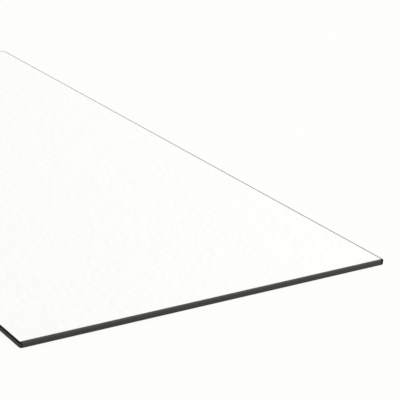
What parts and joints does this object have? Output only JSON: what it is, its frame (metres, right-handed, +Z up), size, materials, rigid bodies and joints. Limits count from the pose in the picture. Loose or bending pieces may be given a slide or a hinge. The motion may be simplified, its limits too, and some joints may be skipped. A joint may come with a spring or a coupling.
{
  "type": "cracked ice light panel",
  "caption": "Flat rectangular plastic lighting panel with small rounded corners and arrises, smooth below and patterned above, that lies in a ceiling grid or fitting.",
  "frame": {"origin": "middle of the smooth underside, which rests on the floor or on the flanges of a grid", "axes": "+X across the sheet, +Y along its length, +Z up through its thickness to the patterned face"},
  "size_m": [0.6032, 1.2128, 0.009],
  "materials": {
    "moulded_sheet": "white moulded acrylic, smooth below, fine faceted relief above, dark grey polished edges"
  },
  "bodies": {
    "root": {"light_panel": "moulded_sheet"}
  },
  "joints": []
}
